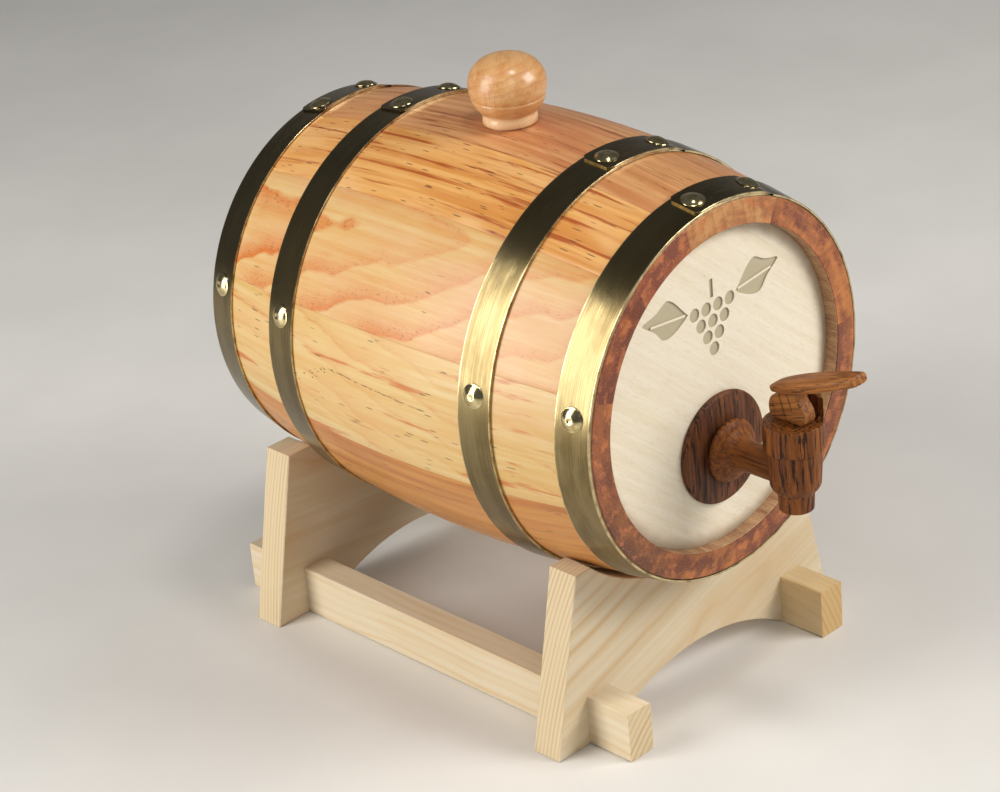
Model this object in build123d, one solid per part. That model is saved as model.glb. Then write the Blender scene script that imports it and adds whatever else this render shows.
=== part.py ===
from build123d import *
import os, math

os.makedirs("parts", exist_ok=True)

# ---------------------------------------------------------------- driving dimensions (mm)
# frame: X to the right seen from the front, +Y to the rear, +Z up, floor at z = 0
AXIS_Y = 25.8          # barrel middle, so that the whole object is centred on the origin
AXIS_Z = 135.4         # height of the barrel axis above the floor

HALF_L = 107.0         # half of the barrel length
R_END = 75.0           # outer radius at the chimes
R_BELLY = 86.5         # outer radius at the belly
CHIME_W = 10.1         # stave thickness at the chime
BELLY_W = 9.4          # stave thickness at the belly
RECESS = 6.0           # head face behind the chime end
HEAD_T = 8.0           # head board thickness
CROZE_D = 3.0          # depth of the head groove
CROZE_W = 4.4          # width of the head groove

# stave joints, degrees clockwise from the top seen from the front
JOINTS = [346.0, 25.5, 57.0, 88.0, 119.0, 150.0, 181.0, 215.0, 253.0, 288.0, 322.0]

HOOP_T = 0.8           # hoop strip thickness
OUTER_HOOP = (91.8, 106.6)   # distance of the outer hoop's edges from the barrel middle
INNER_HOOP = (47.4, 62.7)
LAP_ENDS = (-4.2, 5.4)  # where the strip ends overlap, degrees beyond the two rivets
# lap rivets and hoop nails of each hoop, degrees
RIVETS = {"front_outer_hoop": (-3.7, 18.8), "front_inner_hoop": (-2.6, 16.6),
          "rear_inner_hoop": (-4.9, 12.9), "rear_outer_hoop": (-9.4, 9.2)}
NAILS = {"front_outer_hoop": (-77.5, 93.0), "front_inner_hoop": (-78.8, 94.5),
         "rear_inner_hoop": (-76.7, 92.0), "rear_outer_hoop": (-75.8, 93.6)}
NAIL_R = 4.9           # dome head radius
NAIL_H = 2.0           # dome height

BUNG_HOLE_R = 9.6      # bung hole radius at the outer surface
BUNG_TAPER = 0.9       # radius lost over the plug
BUNG_R = 15.5          # knob radius

TAP_Y = -138.5         # vertical tap axis, from the barrel middle
TAP_Z = -25.5          # horizontal tap axis, from the barrel axis
FLANGE_R = 23.0
FLANGE_T = 3.0
SHANK_R = 8.0
SHANK_BORE = 3.2
LEVER_TILT = 18.7      # paddle slope
LEVER_W = 7.0
PIN_Z = 1.2            # lever pin above the barrel axis height

STAND_Y = 8.1          # stand middle behind the barrel middle
PLATE_OUT = 90.5       # outer faces of the two plates from the stand middle
PLATE_T = 14.2
PLATE_HW = 81.3        # half width at the floor
HORN_HW = 64.5         # half width at the horn tops
HORN_H = 75.4          # height of the horn tops
SEAT_GAP = 0.3         # barrel to saddle
ARCH_H = 15.6
RAIL_X = 57.8
RAIL_W = 12.8
RAIL_H = 21.1
RAIL_HL = 112.3        # half length of a rail

ARC_R = (HALF_L**2 + (R_BELLY - R_END) ** 2) / (2 * (R_BELLY - R_END))


def r_out(y):
    """Outer radius of the barrel at a distance y from its middle."""
    return R_BELLY - ARC_R + math.sqrt(ARC_R**2 - y * y)


def slope(y):
    return y / math.sqrt(ARC_R**2 - y * y)


def place(shape):
    """Barrel frame (axis on Y through 0) to the object's frame."""
    return Pos(0, AXIS_Y, AXIS_Z) * shape


def face_of(*edges):
    return make_face(Wire(list(edges)))


def poly(pts):
    return make_face(Polyline(*[(a, b) for a, b in pts], close=True))


def slab(sketch, thickness):
    """Solid of the given thickness centred on the sketch's plane."""
    return extrude(sketch, thickness / 2, both=True)


def keep(shape, name):
    shape.label = name
    export_step(shape, f"parts/{name}.step")


def ring_profile(pts):
    """Full turned piece about the Y axis from (radius, y) points."""
    return revolve(poly(pts), Axis.Y, 360)


# ---------------------------------------------------------------- staves
R_IN_END = R_END - CHIME_W
HEAD_Y = HALF_L - RECESS                      # outer face of a head
CR0 = HEAD_Y - 1.3                            # groove, outer edge
CR1 = CR0 - CROZE_W
R_IN_BELLY = R_BELLY - BELLY_W


def stave_profile():
    a = ThreePointArc((R_END, -HALF_L), (R_BELLY, 0), (R_END, HALF_L))
    in0 = (R_IN_END, CR1)
    pts_top = [(R_END, HALF_L), (R_IN_END, HALF_L), (R_IN_END, CR0), (R_IN_END + CROZE_D, CR0),
               (R_IN_END + CROZE_D, CR1), in0]
    t = Polyline(*pts_top)
    b = ThreePointArc(in0, (R_IN_BELLY, 0), (R_IN_END, -CR1))
    pts_bot = [(R_IN_END, -CR1), (R_IN_END + CROZE_D, -CR1), (R_IN_END + CROZE_D, -CR0),
               (R_IN_END, -CR0), (R_IN_END, -HALF_L), (R_END, -HALF_L)]
    c = Polyline(*pts_bot)
    return make_face(Wire([a, *t.edges(), b, *c.edges()]))


def sector(profile, a0, width):
    """Revolve a (radius, y) profile from angle a0 (clockwise from the top, seen from the front)."""
    return Rot(0, a0 - 90, 0) * revolve(profile, Axis.Y, width)


def hoop_edges(side, pair):
    y0, y1 = pair
    return (side * y0, side * y1)


HOOPS = {
    "front_outer_hoop": (-1, OUTER_HOOP),
    "front_inner_hoop": (-1, INNER_HOOP),
    "rear_inner_hoop": (1, INNER_HOOP),
    "rear_outer_hoop": (1, OUTER_HOOP),
}


def at_hoop(shape, y, ang, lift):
    """Put a piece drawn along +Z on the hoop's outer face."""
    tilt = math.degrees(math.atan(-slope(y)))
    r = r_out(y) + lift
    return Rot(0, ang, 0) * Pos(0, y, r) * Rot(tilt, 0, 0) * shape


def dome(shank):
    """Round-headed hoop fastener with a small dimple, its shank below z = 0."""
    R = (NAIL_R**2 + NAIL_H**2) / (2 * NAIL_H)
    cap = Pos(0, 0, NAIL_H - R) * Sphere(R)
    cap = cap & (Pos(0, 0, NAIL_H / 2) * Cylinder(NAIL_R, NAIL_H))
    cap -= Pos(0.4, 0.3, NAIL_H + 0.75) * Sphere(1.35)
    return cap + Pos(0, 0, -shank / 2) * Cylinder(0.9, shank)


rivets, nails, shanks = [], [], []
for name, (side, pair) in HOOPS.items():
    y = side * (pair[0] + pair[1]) / 2
    for a in RIVETS[name]:
        rivets.append(at_hoop(dome(3.0), y, a, 2 * HOOP_T + 0.12))
        shanks.append((a, at_hoop(Pos(0, 0, -1.5) * Cylinder(0.9, 3.0), y, a, 2 * HOOP_T + 0.12), name))
    for a in NAILS[name]:
        nails.append(at_hoop(dome(8.0), y, a, HOOP_T + 0.12))
        shanks.append((a, at_hoop(Pos(0, 0, -4.0) * Cylinder(0.9, 8.0), y, a, HOOP_T + 0.12), name))

plug_top = 86.5
bung_cone = Pos(0, 0, R_BELLY - 8) * Cone(BUNG_HOLE_R - BUNG_TAPER * 1.0, BUNG_HOLE_R, 20)

prof = stave_profile()
widths = [((JOINTS[(i + 1) % len(JOINTS)] - JOINTS[i]) % 360) for i in range(len(JOINTS))]
for i, (a0, w) in enumerate(zip(JOINTS, widths)):
    s = sector(prof, a0, w)
    if i == 0:
        s -= bung_cone
    for a, sh, _ in shanks:
        if ((a - a0) % 360) < w:
            s -= sh
    keep(place(s), "bung_stave" if i == 0 else f"stave_{i:02d}")

# ---------------------------------------------------------------- heads
def head(side):
    g = CR0 - 0.2
    pts = [(0, HEAD_Y), (R_IN_END - 0.1, HEAD_Y), (R_IN_END - 0.1, g), (R_IN_END + CROZE_D - 0.2, g),
           (R_IN_END + CROZE_D - 0.2, g - CROZE_W + 0.4), (R_IN_END - 0.4, g - CROZE_W + 0.4),
           (R_IN_END - 4, HEAD_Y - HEAD_T), (0, HEAD_Y - HEAD_T)]
    return ring_profile([(r, side * y) for r, y in (pts if side > 0 else pts[::-1])])


front = head(-1)
front -= Pos(0, -HEAD_Y, TAP_Z) * Rot(90, 0, 0) * Cylinder(SHANK_R, 40)

# shallow carved vine motif: a bunch of round grapes, a leaf on each side and a short stem
CARVE = 0.7
marks = []
for row, n in enumerate((4, 3, 2, 1)):
    for k in range(n):
        marks.append(Pos((k - (n - 1) / 2) * 6.6, 33.5 - row * 5.8) * Circle(2.75))
leaf = make_face(Spline((0, 0), (6, 5.4), (12, 8.6), (18, 5.0), (25, 2.2), (18, -2.4), (13.5, -6.4), (6, -4.6), (0, 0)))
vein = Pos(11, 0.2) * Rectangle(19, 0.9)
leaf_mark = leaf - vein
for sgn in (1, -1):
    m = Pos(13.4, 35.0) * Rot(0, 0, 6) * leaf_mark
    marks.append(m if sgn > 0 else mirror(m, Plane.YZ))
marks.append(Pos(0, 41.0) * Rectangle(2.0, 7.6))
# the sketch's x,y are the object's x,z on the front head's face
for m in marks:
    tool = Pos(0, -HEAD_Y - 0.01, 0) * Rot(90, 0, 0) * extrude(m, -CARVE)
    front -= tool
keep(place(front), "front_head")
keep(place(head(1)), "rear_head")

# ---------------------------------------------------------------- hoops
for name, (side, pair) in HOOPS.items():
    y0, y1 = side * pair[0], side * pair[1]
    LAP = (RIVETS[name][0] + LAP_ENDS[0], RIVETS[name][1] + LAP_ENDS[1])
    g = 0.12
    band = ring_profile([(r_out(y0) + g, y0), (r_out(y0) + g + HOOP_T, y0), (r_out(y1) + g + HOOP_T, y1), (r_out(y1) + g, y1)][:: (1 if side > 0 else -1)])
    # the outer end of the strip lies over the inner one, its corners clipped
    t0, t1 = r_out(y0) + g + HOOP_T, r_out(y1) + g + HOOP_T
    tab = sector(poly([(t0, y0), (t0 + HOOP_T, y0), (t1 + HOOP_T, y1), (t1, y1)]), LAP[0], LAP[1] - LAP[0])
    clip = 2.6
    for ye in (y0, y1):
        box = Rot(0, 0, 45) * Box(clip, clip, 12)
        tab -= Rot(0, LAP[0], 0) * Pos(0, ye, r_out(ye)) * box
    hoop = band + tab
    for a, sh, hn in shanks:
        if hn == name:
            hoop -= sh
    keep(place(hoop), name)
keep(place(Compound(children=[r for r in rivets])), "hoop_rivets")
keep(place(Compound(children=[n for n in nails])), "hoop_nails")

# ---------------------------------------------------------------- bung: flattened ball, shallow groove, collar, tapered plug
fit = 0.05
bz = R_BELLY + 0.3
slope_b = BUNG_TAPER / 20.0


def hole_r(z):
    return BUNG_HOLE_R + (z - (R_BELLY + 2)) * slope_b


bung_edges = [
    Line((0, bz - 16), (hole_r(bz - 16) - fit, bz - 16)),
    Line((hole_r(bz - 16) - fit, bz - 16), (hole_r(bz) - fit, bz)),
    Line((hole_r(bz) - fit, bz), (10.9, bz)),
    Line((10.9, bz), (10.9, bz + 2.2)),
    ThreePointArc((10.9, bz + 2.2), (10.6, bz + 3.3), (10.9, bz + 4.4)),
    ThreePointArc((10.9, bz + 4.4), (13.4, bz + 7.0), (14.75, bz + 10.2)),
    ThreePointArc((14.75, bz + 10.2), (14.45, bz + 10.8), (14.9, bz + 11.4)),
    ThreePointArc((14.9, bz + 11.4), (15.5, bz + 15.2), (14.4, bz + 19.4)),
    Spline((14.4, bz + 19.4), (11.6, bz + 23.6), (6.8, bz + 26.2), (0, bz + 27.0),
           tangents=((-0.38, 1), (-1, 0))),
    Line((0, bz + 27.0), (0, bz - 16)),
]
bung_face = make_face(Wire(bung_edges))
# drawn as (radius, height): turn the sketch so that its height runs along +Z
bung = revolve(Rot(90, 0, 0) * bung_face, Axis.Z, 360)
keep(place(bung), "bung")

# ---------------------------------------------------------------- tap
def tap_place(shape):
    """Tap frame: vertical tap axis on Z, z = 0 at the barrel axis height, to the object's frame."""
    return Pos(0, AXIS_Y + TAP_Y, AXIS_Z) * shape


def turned_z(edges_or_pts, arcs=False):
    f = make_face(Wire(edges_or_pts)) if arcs else poly(edges_or_pts)
    return revolve(Rot(90, 0, 0) * f, Axis.Z, 360)


HY = -TAP_Y - HEAD_Y       # distance from the vertical tap axis back to the head face
RIM = -3.1
# outer turned form
env = turned_z([
    Line((0, RIM), (11.1, RIM)),
    ThreePointArc((11.1, RIM), (11.5, RIM - 0.15), (11.7, RIM - 0.6)),
    Line((11.7, RIM - 0.6), (11.8, -13.4)),
    ThreePointArc((11.8, -13.4), (11.65, -13.85), (11.2, -14.0)),
    Line((11.2, -14.0), (10.45, -14.2)),
    Line((10.45, -14.2), (10.35, -22.0)),
    Line((10.35, -22.0), (9.85, -28.6)),
    ThreePointArc((9.85, -28.6), (9.2, -30.6), (7.5, -32.2)),
    Line((7.5, -32.2), (7.15, -33.4)),
    Line((7.15, -33.4), (6.75, -39.7)),
    ThreePointArc((6.75, -39.7), (6.6, -40.0), (6.3, -40.1)),
    Line((6.3, -40.1), (0, -40.1)),
    Line((0, -40.1), (0, RIM)),
], arcs=True)
CHAMBER_R = 6.4
bores = turned_z([(0, RIM + 0.5), (8.6, RIM + 0.5), (8.6, -7.1), (CHAMBER_R, -7.1), (CHAMBER_R, -28.2), (3.2, -31.0),
                  (3.2, -33.0), (4.7, -34.5), (4.7, -41), (0, -41)])
# raised cheek on the +X side of the crown: a thin wall whose two ends sweep down to the rim
CHEEK = (12.0, 152.0)   # from -Y towards +X
cheek = Rot(0, 0, CHEEK[0] - 90) * revolve(Rot(90, 0, 0) * make_face(Wire([
    Line((9.35, RIM - 1.0), (11.4, RIM - 1.0)),
    Line((11.4, RIM - 1.0), (11.4, 4.6)),
    ThreePointArc((11.4, 4.6), (11.2, 5.2), (10.7, 5.4)),
    Line((10.7, 5.4), (9.65, 5.4)),
    ThreePointArc((9.65, 5.4), (9.43, 5.25), (9.35, 4.9)),
    Line((9.35, 4.9), (9.35, RIM - 1.0)),
])), Axis.Z, CHEEK[1] - CHEEK[0])
SWEEP = 5.6
for th in (CHEEK[0], CHEEK[1]):
    cutter = Pos(0, -10.4, RIM + SWEEP - 0.3) * (Rot(90, 0, 0) * Cylinder(SWEEP, 8) + Pos(0, 0, 5) * Box(2 * SWEEP, 8, 10))
    cheek -= Rot(0, 0, th) * cutter
tenon_bore = Pos(0, 7, TAP_Z) * Rot(90, 0, 0) * Cylinder(5.2, 14)
tap_body = env - bores - tenon_bore + cheek
keep(tap_place(tap_body), "tap_body")

# shank: tail in the head, shoulder, collar, neck and tenon, turned about the horizontal axis
T = HY                      # head face (distance behind the vertical tap axis)
sh_edges = [
    Line((0, T + 15.5), (SHANK_R - 0.6, T + 15.5)),
    Line((SHANK_R - 0.6, T + 15.5), (SHANK_R, T + 14.5)),
    Line((SHANK_R, T + 14.5), (SHANK_R, T - FLANGE_T)),
    Line((SHANK_R, T - FLANGE_T), (9.6, T - FLANGE_T)),
    ThreePointArc((9.6, T - FLANGE_T), (10.3, T - FLANGE_T - 1.1), (11.6, T - FLANGE_T - 1.5)),
    ThreePointArc((11.6, T - FLANGE_T - 1.5), (12.7, T - FLANGE_T - 2.8), (11.9, T - FLANGE_T - 4.4)),
    ThreePointArc((11.9, T - FLANGE_T - 4.4), (10.8, T - FLANGE_T - 5.1), (9.4, T - FLANGE_T - 5.4)),
    Spline((9.4, T - FLANGE_T - 5.4), (7.6, T - FLANGE_T - 7.4), (6.4, T - FLANGE_T - 11.0), (6.1, T - FLANGE_T - 15.5),
           tangents=((-0.6, -1), (0, -1))),
    Line((6.1, T - FLANGE_T - 15.5), (6.1, 6.9)),
    Line((6.1, 6.9), (0, 6.9)),
    Line((0, 6.9), (0, T + 15.5)),
]
sh_face = make_face(Wire(sh_edges))
shank_full = revolve(sh_face, Axis.Y, 360)
shank_full = Pos(0, 0, TAP_Z) * shank_full
bore_h = Pos(0, 30, TAP_Z) * Rot(90, 0, 0) * Cylinder(SHANK_BORE, 80)
tenon = Pos(0, 0, TAP_Z) * ring_profile([(0, 6.6), (5.2, 6.6), (5.2, 12.0), (0, 12.0)])
shank = (shank_full - env) + tenon - bore_h
keep(tap_place(shank), "tap_shank")

fl = revolve(make_face(Wire([
    Line((SHANK_R, T), (FLANGE_R - 0.5, T)),
    ThreePointArc((FLANGE_R - 0.5, T), (FLANGE_R, T - 1.2), (FLANGE_R - 0.9, T - 2.5)),
    ThreePointArc((FLANGE_R - 0.9, T - 2.5), (16.0, T - FLANGE_T - 0.0), (11.6, T - FLANGE_T)),
    Line((11.6, T - FLANGE_T), (SHANK_R, T - FLANGE_T)),
    Line((SHANK_R, T - FLANGE_T), (SHANK_R, T)),
])), Axis.Y, 360)
keep(tap_place(Pos(0, 0, TAP_Z) * fl), "tap_flange")

# bonnet: the wooden disc that closes the valve chamber and guides the stem
STEM_R = 2.6
bonnet = turned_z([(STEM_R + 0.06, RIM), (8.4, RIM), (8.6, RIM - 0.2), (8.6, -7.1), (STEM_R + 0.06, -7.1)])
keep(tap_place(bonnet), "tap_bonnet")

# stem with a flat tongue at the top and a spring collar
stem = turned_z([(0, -27.6), (1.6, -27.6), (1.6, -26.2), (STEM_R, -26.2), (STEM_R, -20.4), (5.6, -20.4), (5.6, -18.9),
                 (STEM_R, -18.9), (STEM_R, -4.0), (0, -4.0)])
tongue = Pos(0, 0, (-4.0 + PIN_Z) / 2) * Box(3.0, 4.2, PIN_Z + 4.0) + Pos(0, 0, PIN_Z) * Rot(0, 90, 0) * Cylinder(2.1, 3.0)
stem = stem + tongue - Pos(0, 0, PIN_Z) * Rot(0, 90, 0) * Cylinder(1.05, 8)
keep(tap_place(stem), "tap_stem")

# rubber valve seal on the stem's lower end, its cone just above the seat
seal = turned_z([(1.6, -26.2), (5.2, -26.2), (5.4, -26.8), (5.4, -28.6), (3.4, -30.35), (0, -30.35), (0, -27.6), (1.6, -27.6)])
keep(tap_place(seal), "valve_seal")

# spring round the stem, between the collar and the bonnet
wire_r = 0.36
helix = Helix(pitch=2.15, height=-7.1 + 18.9 - 2 * wire_r - 0.1, radius=3.9)
sec = Plane(origin=helix @ 0, z_dir=helix % 0) * Circle(wire_r)
spring = Pos(0, 0, -18.9 + wire_r + 0.05) * sweep(sec, path=helix)
keep(tap_place(spring), "valve_spring")

# lever: cam block, waist and leaf-shaped paddle in one piece
bw = LEVER_W / 2
B0, B1 = -2.8, 5.2
side_prof = make_face(Wire([
    Line((-6.6, B0), (6.9, B0)),
    ThreePointArc((6.9, B0), (8.3, B0 + 0.7), (8.7, B0 + 2.2)),
    ThreePointArc((8.7, B0 + 2.2), (8.2, 3.6), (5.6, B1 + 0.1)),
    ThreePointArc((5.6, B1 + 0.1), (3.6, 6.6), (3.3, 8.6)),
    Line((3.3, 8.6), (2.6, 12.0)),
    Line((2.6, 12.0), (-6.4, 14.6)),
    Line((-6.4, 14.6), (-4.6, 9.6)),
    ThreePointArc((-4.6, 9.6), (-5.4, 6.4), (-7.6, 3.6)),
    ThreePointArc((-7.6, 3.6), (-8.7, 0.4), (-8.2, B0 + 0.8)),
    ThreePointArc((-8.2, B0 + 0.8), (-7.5, B0 + 0.2), (-6.6, B0)),
]))
# the side view is drawn as (y, z) and given the lever's width along x
lever_base = slab(Plane.YZ * side_prof, LEVER_W)
# paddle outline: s along the paddle from its rear end, half width across
outline = make_face(Wire([
    ThreePointArc((-4.0, -4.8), (-9.0, 0.0), (-4.0, 4.8)),
    ThreePointArc((-4.0, 4.8), (14.0, 5.8), (34.6, 3.8)),
    Line((34.6, 3.8), (34.6, -3.8)),
    ThreePointArc((34.6, -3.8), (14.0, -5.8), (-4.0, -4.8)),
]))
# swell of the underside and the thinning ends, seen from the side
swell = make_face(Wire([
    ThreePointArc((-9.6, 0.4), (14.0, 2.2), (36.0, 1.6)),
    Line((36.0, 1.6), (36.0, -2.2)),
    ThreePointArc((36.0, -2.2), (12.0, -2.75), (-9.6, -1.0)),
    Line((-9.6, -1.0), (-9.6, 0.4)),
]))
pad = slab(outline, 8) & slab(Plane.XZ * swell, 14)
# local x of the paddle runs along -Y and up
pad = Pos(0, 0, 12.3) * Rot(-LEVER_TILT, 0, 0) * Rot(0, 0, -90) * pad
lever = lever_base + pad
slot = Pos(0, 0, (B0 - 1 + PIN_Z) / 2) * Box(3.4, 8.8, PIN_Z - B0 + 1) + Pos(0, 0, PIN_Z) * Rot(0, 90, 0) * Cylinder(4.4, 3.4)
lever -= slot
pin_hole = Pos(0.25, 0, PIN_Z) * Rot(0, 90, 0) * Cylinder(1.0, 6.5)
lever -= pin_hole
keep(tap_place(lever), "tap_lever")
keep(tap_place(Pos(0.25, 0, PIN_Z) * Rot(0, 90, 0) * Cylinder(1.0, 6.5)), "lever_pin")

# ---------------------------------------------------------------- stand
SY = AXIS_Y + STAND_Y


def plate(y_front, r_seat):
    xi = math.sqrt(r_seat**2 - (AXIS_Z - HORN_H) ** 2)
    half = RAIL_X - RAIL_W / 2
    prof = make_face(Wire([
        Line((-PLATE_HW, 0), (-HORN_HW, HORN_H)),
        Line((-HORN_HW, HORN_H), (-xi, HORN_H)),
        ThreePointArc((-xi, HORN_H), (0, AXIS_Z - r_seat), (xi, HORN_H)),
        Line((xi, HORN_H), (HORN_HW, HORN_H)),
        Line((HORN_HW, HORN_H), (PLATE_HW, 0)),
        Line((PLATE_HW, 0), (half, 0)),
        ThreePointArc((half, 0), (0, ARCH_H), (-half, 0)),
        Line((-half, 0), (-PLATE_HW, 0)),
    ]))
    p = slab(Plane.XZ * prof, PLATE_T)
    p = chamfer(p.faces().filter_by(Axis.Y).edges(), 0.4)
    p = Pos(0, y_front + PLATE_T / 2, 0) * p
    for s in (-1, 1):
        p -= Pos(s * RAIL_X, y_front + PLATE_T / 2, RAIL_H / 2) * Box(RAIL_W, PLATE_T + 2, RAIL_H)
    # screw pilot holes above each rail
    for s in (-1, 1):
        p -= Pos(s * RAIL_X, y_front + PLATE_T / 2, RAIL_H + 7) * Cylinder(1.5, 14)
    return p


y_fp = SY - PLATE_OUT
y_rp = SY + PLATE_OUT - PLATE_T
seat_f = r_out(y_fp + PLATE_T - AXIS_Y) + SEAT_GAP
seat_r = r_out(y_rp - AXIS_Y) + SEAT_GAP
keep(plate(y_fp, seat_f), "front_plate")
keep(plate(y_rp, seat_r), "rear_plate")

screws = []
for s, nm in ((-1, "left_rail"), (1, "right_rail")):
    rail = Pos(s * RAIL_X, SY, RAIL_H / 2) * Box(RAIL_W, 2 * RAIL_HL, RAIL_H)
    rail = chamfer(rail.edges().filter_by(Axis.Y), 0.5)
    for yp in (y_fp + PLATE_T / 2, y_rp + PLATE_T / 2):
        head_z = 1.2
        scr = turned_z([(0, head_z), (3.4, head_z), (3.4, head_z + 0.4), (1.5, head_z + 2.4), (1.5, RAIL_H + 12.0), (0, RAIL_H + 13.8)])
        cross = Pos(0, 0, head_z + 0.5) * (Box(3.6, 0.8, 1.4) + Box(0.8, 3.6, 1.4))
        rail -= Pos(s * RAIL_X, yp, 0) * turned_z([(0, -1), (3.4, -1), (3.4, head_z + 0.4), (1.5, head_z + 2.4), (1.5, RAIL_H + 1), (0, RAIL_H + 1)])
        screws.append(Pos(s * RAIL_X, yp, 0) * (scr - cross))
    keep(rail, nm)
keep(Compound(children=screws), "stand_screws")
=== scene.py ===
import bpy, bmesh, math
import numpy as np
from mathutils import Vector, Matrix


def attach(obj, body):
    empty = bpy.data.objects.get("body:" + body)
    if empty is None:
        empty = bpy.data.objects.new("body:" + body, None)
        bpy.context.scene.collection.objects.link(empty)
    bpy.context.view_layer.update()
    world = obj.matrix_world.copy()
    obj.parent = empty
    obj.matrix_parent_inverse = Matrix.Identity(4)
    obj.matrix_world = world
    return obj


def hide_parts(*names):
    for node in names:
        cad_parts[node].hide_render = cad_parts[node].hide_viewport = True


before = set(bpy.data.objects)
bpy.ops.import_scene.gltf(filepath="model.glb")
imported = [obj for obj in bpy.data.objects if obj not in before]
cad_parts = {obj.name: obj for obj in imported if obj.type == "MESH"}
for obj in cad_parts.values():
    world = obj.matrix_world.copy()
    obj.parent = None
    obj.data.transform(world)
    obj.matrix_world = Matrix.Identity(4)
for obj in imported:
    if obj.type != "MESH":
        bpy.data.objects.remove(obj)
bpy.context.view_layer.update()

rng = np.random.default_rng(7)
scene = bpy.context.scene

# ------------------------------------------------------------------ the part's own dimensions, mm
AY, AZ = 25.8, 135.4
HALF_L, R_END, R_BELLY, CHIME_W, BELLY_W, RECESS = 107.0, 75.0, 86.5, 10.1, 9.4, 6.0
JOINTS = [346.0, 25.5, 57.0, 88.0, 119.0, 150.0, 181.0, 215.0, 253.0, 288.0, 322.0]
HOOP_T, GAP = 0.8, 0.12
HOOPS = {"front_outer_hoop": (-1, 91.8, 106.6), "front_inner_hoop": (-1, 47.4, 62.7),
         "rear_inner_hoop": (1, 47.4, 62.7), "rear_outer_hoop": (1, 91.8, 106.6)}
RIVETS = {"front_outer_hoop": (-3.7, 18.8), "front_inner_hoop": (-2.6, 16.6),
          "rear_inner_hoop": (-4.9, 12.9), "rear_outer_hoop": (-9.4, 9.2)}
NAILS = {"front_outer_hoop": (-77.5, 93.0), "front_inner_hoop": (-78.8, 94.5),
         "rear_inner_hoop": (-76.7, 92.0), "rear_outer_hoop": (-75.8, 93.6)}
NAIL_R, NAIL_H = 4.9, 2.0
TY, TAP_Z = AY - 138.5, -25.5
HEAD_Y = HALF_L - RECESS
ARC_R = (HALF_L**2 + (R_BELLY - R_END) ** 2) / (2 * (R_BELLY - R_END))


def r_out(y):
    return R_BELLY - ARC_R + math.sqrt(ARC_R**2 - y * y)


# ------------------------------------------------------------------ mesh helpers (coordinates in mm)
def new_mesh(name, V, F, body, nodes=(), mats=(), attrs=None, face_mat=None, angle=38, smooth=True):
    me = bpy.data.meshes.new(name)
    me.from_pydata([tuple(float(c) / 1000 for c in v) for v in V], [], [tuple(int(i) for i in f) for f in F])
    me.update()
    for k, a in (attrs or {}).items():
        a = np.asarray(a, np.float32)
        if a.ndim == 2:
            at = me.attributes.new(k, "FLOAT_VECTOR", "POINT")
            at.data.foreach_set("vector", a.ravel())
        else:
            at = me.attributes.new(k, "FLOAT", "POINT")
            at.data.foreach_set("value", a.ravel())
    ob = bpy.data.objects.new(name, me)
    scene.collection.objects.link(ob)
    for m in mats:
        me.materials.append(m)
    if face_mat is not None:
        me.polygons.foreach_set("material_index", np.asarray(face_mat, np.int32))
    bm = bmesh.new()
    bm.from_mesh(me)
    bmesh.ops.recalc_face_normals(bm, faces=bm.faces)
    bm.to_mesh(me)
    bm.free()
    if smooth:
        me.shade_smooth()
        me.set_sharp_from_angle(angle=math.radians(angle))
    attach(ob, body)
    if nodes:
        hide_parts(*nodes)
    return ob


def grid(nr, nc, wrap_r=False, wrap_c=False, base=0):
    F = []
    for i in range(nr if wrap_r else nr - 1):
        for j in range(nc if wrap_c else nc - 1):
            a = i * nc + j
            b = i * nc + (j + 1) % nc
            c = ((i + 1) % nr) * nc + (j + 1) % nc
            d = ((i + 1) % nr) * nc + j
            F.append((base + a, base + b, base + c, base + d))
    return F


def catmull(pts, n):
    P = np.array(pts, float)
    P = np.vstack([2 * P[0] - P[1], P, 2 * P[-1] - P[-2]])
    out = []
    for i in range(1, len(P) - 2):
        for t in np.linspace(0, 1, n, endpoint=False):
            a, b, c, d = P[i - 1], P[i], P[i + 1], P[i + 2]
            out.append(0.5 * (2 * b + (c - a) * t + (2 * a - 5 * b + 4 * c - d) * t * t + (3 * b - a - 3 * c + d) * t**3))
    out.append(P[-2])
    return out


def lathe(prof, segs=96, closed=False):
    """(radius, height) profile about Z. Points with radius 0 become poles. closed joins the last point to the first."""
    V, F, rows = [], [], []
    for r, z in prof:
        if r < 1e-6:
            rows.append([len(V)])
            V.append((0, 0, z))
        else:
            rows.append(list(range(len(V), len(V) + segs)))
            for k in range(segs):
                a = 2 * math.pi * k / segs
                V.append((r * math.cos(a), r * math.sin(a), z))
    pairs = list(zip(rows[:-1], rows[1:]))
    if closed:
        pairs.append((rows[-1], rows[0]))
    for A, B in pairs:
        if len(A) == 1 and len(B) == 1:
            continue
        for k in range(segs):
            k2 = (k + 1) % segs
            if len(A) == 1:
                F.append((A[0], B[k], B[k2]))
            elif len(B) == 1:
                F.append((A[k], B[0], A[k2]))
            else:
                F.append((A[k], B[k], B[k2], A[k2]))
    return np.array(V, float), F


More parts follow.
